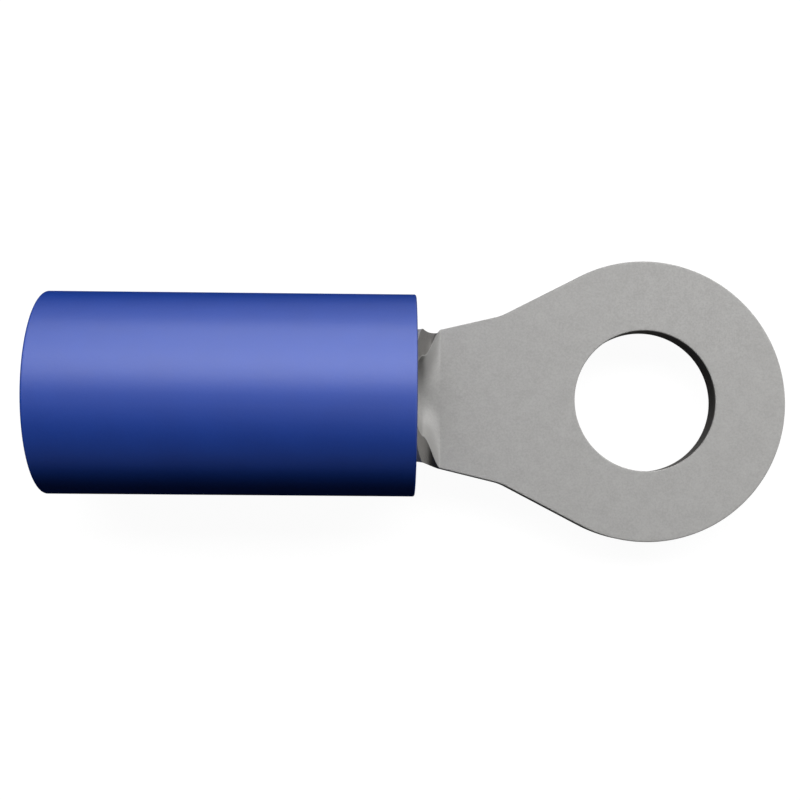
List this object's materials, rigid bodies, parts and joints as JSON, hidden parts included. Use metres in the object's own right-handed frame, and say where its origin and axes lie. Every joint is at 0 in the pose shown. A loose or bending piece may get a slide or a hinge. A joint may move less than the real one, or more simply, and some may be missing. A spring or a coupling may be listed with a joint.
{
  "type": "ring terminal",
  "caption": "Insulated crimp ring terminal: a flat stud ring on a tapered tongue that rolls up into a wire barrel under a blue moulded sleeve.",
  "frame": {"origin": "centre of the stud hole, on the underside of the ring", "axes": "+X from the sleeve to the tip of the ring, +Z along the stud hole, to the side on which the barrel closes"},
  "size_m": [0.0221, 0.0086, 0.0059],
  "materials": {
    "tinned_copper": "satin",
    "blue_plastic": "satin"
  },
  "bodies": {
    "root": {"metal_terminal": "tinned_copper", "insulating_sleeve": "blue_plastic"}
  },
  "joints": []
}
